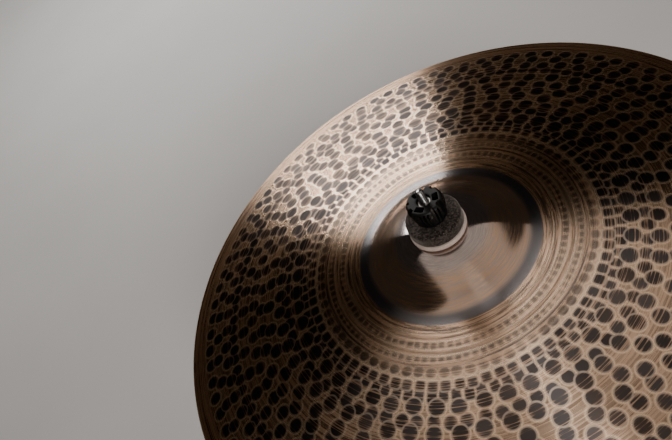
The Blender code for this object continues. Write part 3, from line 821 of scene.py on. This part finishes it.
def threaded_rod(name, radius, low, high, thread_low, depth=0.55 * MM, pitch=1.0 * MM):
    """A rod along Z with its lower part plain and a chamfered, threaded upper part."""
    chamfer = 0.8 * MM
    shoulder = high - chamfer * 0.5
    rings = int((high - chamfer - thread_low) / (pitch / 7))
    outline = [(0, high), (radius - chamfer, high)]
    for k in range(rings + 1):
        outline.append((radius, shoulder - (shoulder - thread_low) * k / rings))
    outline += [(radius, thread_low - 0.2 * MM), (radius, low + 0.3 * MM),
                (radius - 0.3 * MM, low), (0, low)]
    cut = thread(radius, pitch, depth, thread_low, high, chamfer)
    return solid_turned(name, outline, 32, cut, 50)


def make_rod(look):
    low, high = low_high("cymbal_rod")
    rod = threaded_rod("rod_threaded", high[0], low[2], high[2], HINGE[2] + ROD_PLAIN)
    finished(rod, look, "head", "chrome", "cymbal_rod")


def cutter(radius, low, high, matrix):
    """A round cutter along Z, moved by the matrix."""
    outline = [(0, high), (radius, high), (radius, low), (0, low)]
    return placed(solid_turned("cutter", outline, 48), matrix)


def pin_bore(radius, up):
    """A cutter along world Y, through everything, at a height above the bolt."""
    return cutter(radius, -THROUGH, THROUGH, AT_HINGE @ Matrix.Translation((0, 0, up)) @ ALONG_Y)


def square(half, low, high, bevel=0.0):
    corners = [(-half, -half), (half, -half), (half, half), (-half, half)]
    return plate("square", corners, low, high, bevel)


def make_sleeve(look):
    low, high = low_high("sleeve")
    shoulder = low_high("lower_felt")[0][2] - 0.3 * MM
    bore, tube = 3.4 * MM, 5.25 * MM
    outline = rounded([
        (bore, high[2], 0.25), (tube, high[2], 0.5), (tube, shoulder, 0.4),
        (high[0], shoulder, 0.5), (high[0], low[2], 0.5), (bore, low[2], 0.3),
    ], 5)
    sleeve = turned("sleeve_nylon", subdivided(outline, 2 * MM), 96)
    finished(sleeve, look, "sleeve", "sleeve_nylon", "sleeve")


def make_seat_cup(look):
    low, high = low_high("seat_cup")
    recess, floor = 13.3 * MM, low[2] + 2 * MM
    outline = rounded([
        (M6_BORE, floor, 0.3), (recess, floor, 0), (recess, high[2], 0.3),
        (high[0], high[2], 0.9), (high[0], low[2] + 1.2 * MM, 0.8),
        (high[0] - 4 * MM, low[2], 1.5), (M6_BORE, low[2], 0.3),
    ], 6)
    cup = turned("cup_pressed", subdivided(outline, 2 * MM), 128)
    finished(cup, look, "head", "plated_steel", "seat_cup")


def make_jam_nut(look):
    """A hexagon whose corners are turned off at both faces, with a countersunk bore."""
    low, high = low_high("rod_jam_nut")
    top, bottom, corner = high[2], low[2], high[0]
    hexagon = [
        (corner * math.cos(k * TAU / 6), corner * math.sin(k * TAU / 6)) for k in range(6)
    ]
    nut = plate("nut_hexagon", hexagon, bottom, top)
    inner, outer, drop = corner * math.cos(TAU / 12) - 0.2 * MM, corner + 0.3 * MM, 0.6 * MM
    envelope = solid_turned("envelope", [
        (0, top), (inner, top), (outer, top - drop),
        (outer, bottom + drop), (inner, bottom), (0, bottom),
    ], 96)
    combine(nut, envelope, "INTERSECT")
    sink = M6_BORE + MM
    bore = solid_turned("bore", [
        (0, top + MM), (sink, top + MM), (M6_BORE, top - 0.5 * MM),
        (M6_BORE, bottom + 0.5 * MM), (sink, bottom - MM), (0, bottom - MM),
    ], 64)
    combine(nut, bore)
    smooth(nut, 25)
    finished(nut, look, "head", "plated_steel", "rod_jam_nut")


def make_pins(look):
    """Cross pins with crowned ends."""
    for name, node, body in (("pin_rod", "rod_pin", "head"), ("pin_post", "post_pin", "base")):
        low, high = low_high(node)
        radius, half = high[0], (high[1] - low[1]) / 2
        crown = 0.3 * radius
        slope = 0.3 * crown
        outline = [(0, half), (radius - crown, half), (radius - slope, half - slope),
                   (radius, half - crown), (radius, crown - half),
                   (radius - slope, slope - half), (radius - crown, -half), (0, -half)]
        pin = solid_turned(name, outline, 48)
        centre = Matrix.Translation((0, 0, (low[2] + high[2]) / 2))
        finished(placed(pin, centre @ ALONG_Y), look, body, "plated_steel", node)


# ------------ tilter and post

# Along the bolt from the middle of the brake disc, or up from the bolt, in metres.
CHEEK_IN, CHEEK_OUT = 1.6 * MM, 10.0 * MM  # the flat faces of a half's ear
SPRING_POCKET, SPRING_REACH = 4.9 * MM, 5.0 * MM  # its radius, and how far it goes into a half
BOLT_RADIUS = 3.0 * MM
BOSS_RADIUS, BOSS_LOW = 11.0 * MM, 17.2 * MM
ROD_PIN_UP, ROD_PIN_BORE = 23.5 * MM, 1.8 * MM
SOCKET_RADIUS, SOCKET_TOP, SOCKET_FLOOR = 13.0 * MM, -18.0 * MM, -22.2 * MM
POST_BORE = 6.65 * MM
POST_PIN_UP, POST_PIN_BORE = -40.0 * MM, 2.3 * MM
THROUGH = 20 * MM  # past every face that a cutter meets
WING_TURN = 70  # degrees, where the wings stand at rest


def cheek(direction, neck_half, neck_reach):
    """Outline of a tilter half: a round ear and a narrowing neck. Its -X is world +Z."""
    radius = low_high("tilter_head")[1][1]
    reach = math.hypot(neck_half, neck_reach)
    tangent = math.acos(radius / reach) + math.atan2(neck_half, neck_reach)
    steps = 56
    outline = []
    for k in range(steps + 1):
        turn = tangent + (TAU - 2 * tangent) * k / steps
        outline.append((direction * -radius * math.cos(turn), radius * math.sin(turn)))
    outline.append((direction * -neck_reach, -neck_half))
    outline.append((direction * -neck_reach, neck_half))
    return outline


def make_tilter_half(name, node, body, look, direction, neck_half, neck_reach, boss, cuts):
    """A cast half: its ear with a turned groove round the bolt, and its round boss or socket."""
    near, far = sorted((direction * CHEEK_IN, direction * CHEEK_OUT))
    half = plate(name, cheek(direction, neck_half, neck_reach), near, far, 1.1 * MM, 4)
    placed(half, ROUND_BOLT)
    combine(half, placed(solid_turned("boss", boss, 96), AT_HINGE), "UNION")
    face = direction * CHEEK_OUT
    near, far = sorted((face + direction * MM, face - direction * 0.4 * MM))
    groove = turned("groove", [
        (12.4 * MM, far), (12.4 * MM, near), (10.6 * MM, near), (10.6 * MM, far),
    ], 96)
    combine(half, placed(groove, ROUND_BOLT))
    bore = solid_turned("bore", [
        (0, THROUGH), (M6_BORE, THROUGH), (M6_BORE, SPRING_REACH), (SPRING_POCKET, SPRING_REACH),
        (SPRING_POCKET, -SPRING_REACH), (M6_BORE, -SPRING_REACH), (M6_BORE, -THROUGH),
        (0, -THROUGH),
    ], 48)
    combine(half, placed(bore, ROUND_BOLT))
    for cut in cuts:
        combine(half, cut)
    smooth(half, 30)
    finished(half, look, body, "chromed_casting", node)


def make_tilter(look):
    top = low_high("tilter_head")[1][2] - HINGE[2]
    boss = rounded([
        (0, top, 0), (7.2 * MM, top, 0.9), (BOSS_RADIUS, top - 7 * MM, 2.5),
        (BOSS_RADIUS, BOSS_LOW, 1.5), (0, BOSS_LOW, 0),
    ], 6)
    make_tilter_half("head_cast", "tilter_head", "head", look, 1, 4.4 * MM, 27 * MM, boss, (
        cutter(M6_BORE, BOSS_LOW + 0.3 * MM, top + 10 * MM, AT_HINGE),
        pin_bore(ROD_PIN_BORE, ROD_PIN_UP),
    ))
    low = low_high("tilter_base")[0][2] - HINGE[2]
    groove = SOCKET_RADIUS - 0.7 * MM
    socket = rounded([
        (0, SOCKET_TOP, 0), (SOCKET_RADIUS, SOCKET_TOP, 2.4),
        (SOCKET_RADIUS, low + 7 * MM, 0.3), (groove, low + 6.4 * MM, 0.3),
        (groove, low + 5.4 * MM, 0.3), (SOCKET_RADIUS, low + 4.8 * MM, 0.3),
        (SOCKET_RADIUS, low, 1.2), (0, low, 0),
    ], 6)
    square_hole = square(BOLT_RADIUS + 0.35 * MM, -12 * MM, -6.2 * MM)
    make_tilter_half("base_cast", "tilter_base", "base", look, -1, 8.2 * MM, 26 * MM, socket, (
        cutter(POST_BORE, low - 10 * MM, SOCKET_FLOOR, AT_HINGE),
        placed(square_hole, ROUND_BOLT),
        pin_bore(POST_PIN_BORE, POST_PIN_UP),
    ))


def fibre_look():
    """Pressed brown fibre with pale specks."""
    look = Look("pressed_fibre")
    weave = look.noise(700.0, 4.0, 0.7)
    specks = look.noise(2400.0, 2.0, 0.6)
    colour = look.mix(look.step(weave, 0.35, 0.65), rgb(0.10, 0.05, 0.028), rgb(0.21, 0.12, 0.07))
    colour = look.mix(look.step(specks, 0.6, 0.7), colour, rgb(0.45, 0.30, 0.16))
    look.set(Base_Color=colour, Normal=look.bump(weave, 0.12 * MM, 0.6),
             Roughness=look.blend(weave, 0.70, 0.90))
    return look.material


def make_brake_disc(look):
    low, high = low_high("brake_disc")
    section = ring_section(high[1], SPRING_POCKET, high[0], low[0], (0.4, 0.4, 0.3, 0.3), 4)
    disc = turned("disc_fibre", subdivided(section, 1.5 * MM), 128)
    finished(placed(disc, ROUND_BOLT), look, "base", "friction_fibre", "brake_disc")


def swept(name, rings):
    """Joins rings of points, one after another, and closes both ends."""
    count = len(rings[0])
    verts = [point for ring in rings for point in ring]
    last = (len(rings) - 1) * count
    faces = [tuple(range(count))[::-1]]
    for start in range(0, last, count):
        for k in range(count):
            n = (k + 1) % count
            faces.append((start + k, start + n, start + count + n, start + count + k))
    faces.append(tuple(range(last, last + count)))
    return mesh_object(name, verts, faces, 40)


def make_spring(look):
    """Four turns of round wire in the pocket round the bolt."""
    mean, wire, turns, per_turn, sides = 3.95 * MM, 0.45 * MM, 4, 40, 14
    reach = SPRING_REACH - 0.3 * MM - wire
    around = [TAU * k / sides for k in range(sides)]
    up = Vector((0, 0, 1))
    rings = []
    for i in range(turns * per_turn + 1):
        turn = TAU * i / per_turn
        outward = Vector((math.cos(turn), math.sin(turn), 0))
        centre = outward * mean + up * (2 * reach * i / (turns * per_turn) - reach)
        rings.append([
            centre + wire * (outward * math.cos(angle) - up * math.sin(angle)) for angle in around
        ])
    spring = placed(swept("spring_coil", rings), ROUND_BOLT)
    finished(spring, look, "base", "plated_steel", "release_spring")


def make_washers(look):
    """A flat washer, and a split one whose ends stand a little apart."""
    low, high = low_high("tilter_washer")
    section = ring_section(high[1], M6_BORE, high[0], low[0], (0.2, 0.45, 0.2, 0.3), 5)
    flat = turned("washer_flat", subdivided(section, 1.2 * MM), 96)
    finished(placed(flat, ROUND_BOLT), look, "wing_carrier", "plated_steel", "tilter_washer")
    low, high = low_high("lock_washer")
    rise, slit, steps = 0.3 * MM, 0.10, 96
    section = ring_section(high[1], M6_BORE, high[0] - rise, low[0], (0.15,) * 4, 3)
    rings = []
    for i in range(steps + 1):
        turn = slit + (TAU - 2 * slit) * i / steps
        outward = Vector((math.cos(turn), math.sin(turn), 0))
        rings.append([outward * r + Vector((0, 0, z + rise * i / steps)) for r, z in section])
    ring = placed(swept("washer_split", rings), ROUND_BOLT)
    finished(ring, look, "wing_carrier", "plated_steel", "lock_washer")


def make_bolt(look):
    """Carriage bolt along the hinge: domed head, square neck, threaded end."""
    low, high = low_high("tilter_bolt")
    near, far = low[0], high[0]
    face, head_radius, steps = -10.3 * MM, 7 * MM, 9
    bolt = threaded_rod("bolt_carriage", BOLT_RADIUS, face - 0.4 * MM, far, 9 * MM)
    dome = [(0, face), (head_radius, face)]
    for k in range(1, steps + 1):
        turn = math.radians(8.5 * k)
        dome.append((head_radius * math.cos(turn), face - (face - near) * math.sin(turn)))
    dome.append((0, near))
    combine(bolt, solid_turned("dome", dome, 96), "UNION")
    neck = square(BOLT_RADIUS, face - 0.5 * MM, face + 3.8 * MM, 0.2 * MM)
    combine(bolt, neck, "UNION")
    smooth(placed(bolt, ROUND_BOLT), 35)
    finished(bolt, look, "base", "chrome", "tilter_bolt")


def make_wing_nut(look):
    """A conical hub with two rounded wings."""
    face = low_high("tilter_wing_nut")[0][0]
    end = face + 10 * MM
    root, span, half_thickness = 4.5 * MM, 22 * MM, 1.4 * MM
    nut = turned("wing_nut_cast", rounded([
        (M6_BORE, end, 0.3), (5.2 * MM, end, 0.9), (6.6 * MM, face, 0.8),
        (M6_BORE, face, 0.3),
    ], 6), 96)
    wing_outline = rounded([
        (root, face + 1.5 * MM, 0), (span - 6 * MM, face + 3 * MM, 4),
        (span, face + 13 * MM, 3.5), (span - 10 * MM, face + 14.5 * MM, 4),
        (root, end - 1.2 * MM, 0),
    ], 8)
    upright = Matrix.Rotation(math.pi / 2, 4, "X")
    for turn in (WING_TURN, WING_TURN + 180):
        wing = plate("wing", wing_outline, -half_thickness, half_thickness, 0.9 * MM, 4)
        combine(nut, placed(wing, about_z(turn) @ upright), "UNION")
    smooth(placed(nut, ROUND_BOLT), 35)
    finished(nut, look, "wing_nut", "chromed_casting", "tilter_wing_nut")


def make_post(look):
    high = low_high("post")[1]
    radius, top, fillet = high[0], high[2], 0.8
    outline = rounded([(0, top, 0), (radius, top, fillet), (radius, 0, fillet), (0, 0, 0)])
    post = solid_turned("post_tube", outline, 128)
    combine(post, pin_bore(POST_PIN_BORE, POST_PIN_UP))
    smooth(post, 30)
    finished(post, look, "base", "chrome", "post")


# ------------ camera, floor, light

# The camera, from the middle of the rim's plane: where it stands, what it looks at, its roll.
CAMERA_FROM = Vector((0.0, -322.3, 411.4)) * MM
CAMERA_AIM = Vector((-72.1, 100.0, 0.0)) * MM
CAMERA_ROLL = -36.3
LENS = 37.5
FLOOR_SIZE = 5.0
FLOOR_Z = -0.10  # below the lowest point that the tilted cymbal reaches


def make_camera():
    data = bpy.data.cameras.new("camera")
    data.lens = LENS
    data.sensor_width = 36.0
    data.clip_start = 0.01
    camera = linked("camera", data)
    turn = (CAMERA_AIM - CAMERA_FROM).to_track_quat("-Z", "Y")
    camera.rotation_mode = "QUATERNION"
    camera.rotation_quaternion = turn @ Quaternion((0, 0, 1), math.radians(CAMERA_ROLL))
    camera.location = CAMERA_FROM + Vector((0, 0, RIM_Z))
    bpy.context.scene.camera = camera


def make_floor():
    """A pale painted floor that is clear when it is seen from below."""
    look = Look("floor_paint")
    mottle = look.noise(3.0, 4.0, 0.5)
    colour = look.mix(look.step(mottle, 0.3, 0.7), rgb(0.62, 0.61, 0.60), rgb(0.66, 0.65, 0.64))
    look.set(Base_Color=colour, Roughness=0.8)
    from_below = look.add("NewGeometry", out=6)
    clear = look.add("BsdfTransparent")
    surface = look.add(
        "MixShader", (0, from_below), (1, look.shader.outputs[0]), (2, clear)
    )
    look.put(look.tree.nodes["Material Output"].inputs["Surface"], surface)
    bpy.ops.mesh.primitive_plane_add(size=FLOOR_SIZE, location=(0, 0, FLOOR_Z))
    floor = bpy.context.object
    floor.name = "floor"
    floor.data.materials.append(look.material)


def area_light(name, place, aim, size, watts, colour=(1.0, 0.97, 0.94), turn=0.0):
    """A rectangular soft light, turned about its own direction by turn degrees.

    Its place and aim are in metres from the middle of the rim's plane.
    """
    data = bpy.data.lights.new(name, "AREA")
    data.shape = "RECTANGLE"
    data.size, data.size_y = size
    data.energy = watts
    data.color = colour
    light = linked(name, data)
    light.location = Vector(place) + Vector((0, 0, RIM_Z))
    direction = Vector(aim) - Vector(place)
    light.rotation_euler = direction.to_track_quat("-Z", "Y").to_euler()
    light.rotation_euler.rotate_axis("Z", math.radians(turn))


def make_world():
    """A dim room whose far walls look pale."""
    world = bpy.data.worlds.new("studio")
    bpy.context.scene.world = world
    world.use_nodes = True
    nodes, links = world.node_tree.nodes, world.node_tree.links
    room = nodes["Background"]
    room.inputs["Color"].default_value = rgb(1.0, 0.92, 0.85)
    room.inputs["Strength"].default_value = 0.055
    wall = nodes.new("ShaderNodeBackground")
    wall.inputs["Color"].default_value = rgb(0.62, 0.61, 0.60)
    wall.inputs["Strength"].default_value = 1.0
    seen = nodes.new("ShaderNodeLightPath").outputs["Is Camera Ray"]
    both = nodes.new("ShaderNodeMixShader")
    links.new(seen, both.inputs[0])
    links.new(room.outputs[0], both.inputs[1])
    links.new(wall.outputs[0], both.inputs[2])
    links.new(both.outputs[0], nodes["World Output"].inputs["Surface"])


def make_light():
    """Studio light with the contrast of a photograph."""
    bpy.context.scene.view_settings.look = "AgX - Punchy"
    make_world()
    area_light("key", (-0.145, 1.53, 0.95), (-0.145, 1.53, 0), (0.66, 0.52), 32, turn=-9)
    area_light("front", (0.30, -1.90, 1.20), (0, 0, 0), (0.7, 0.7), 50)
    area_light("ceiling", (0.325, 0.04, 1.30), (0.325, 0.04, 0), (1.75, 1.38), 5.0, (1, 0.86, 0.74))
    area_light("below", (0.2, -0.3, -1.50), (0, 0, 0), (1.6, 1.6), 14)


make_camera()
make_floor()
make_light()
make_cymbal(bronze_look())
make_stack()
make_nut(plastic_look("black_plastic"))
make_insert(metal_look("insert_metal_finish", (0.80, 0.77, 0.72), 0.24))
chrome = metal_look("chrome_plate", (0.52, 0.52, 0.54), 0.10, spread=0.06)
steel = metal_look("zinc_plate", (0.52, 0.52, 0.54), 0.24, (300.0, 300.0, 2400.0))
casting = metal_look("chromed_casting", (0.60, 0.60, 0.62), 0.15, wear=0.5, spread=0.12)
make_rod(chrome)
make_sleeve(plastic_look("black_nylon"))
make_seat_cup(steel)
make_jam_nut(steel)
make_pins(steel)
make_tilter(casting)
make_brake_disc(fibre_look())
make_spring(steel)
make_washers(steel)
make_bolt(chrome)
make_wing_nut(casting)
make_post(chrome)
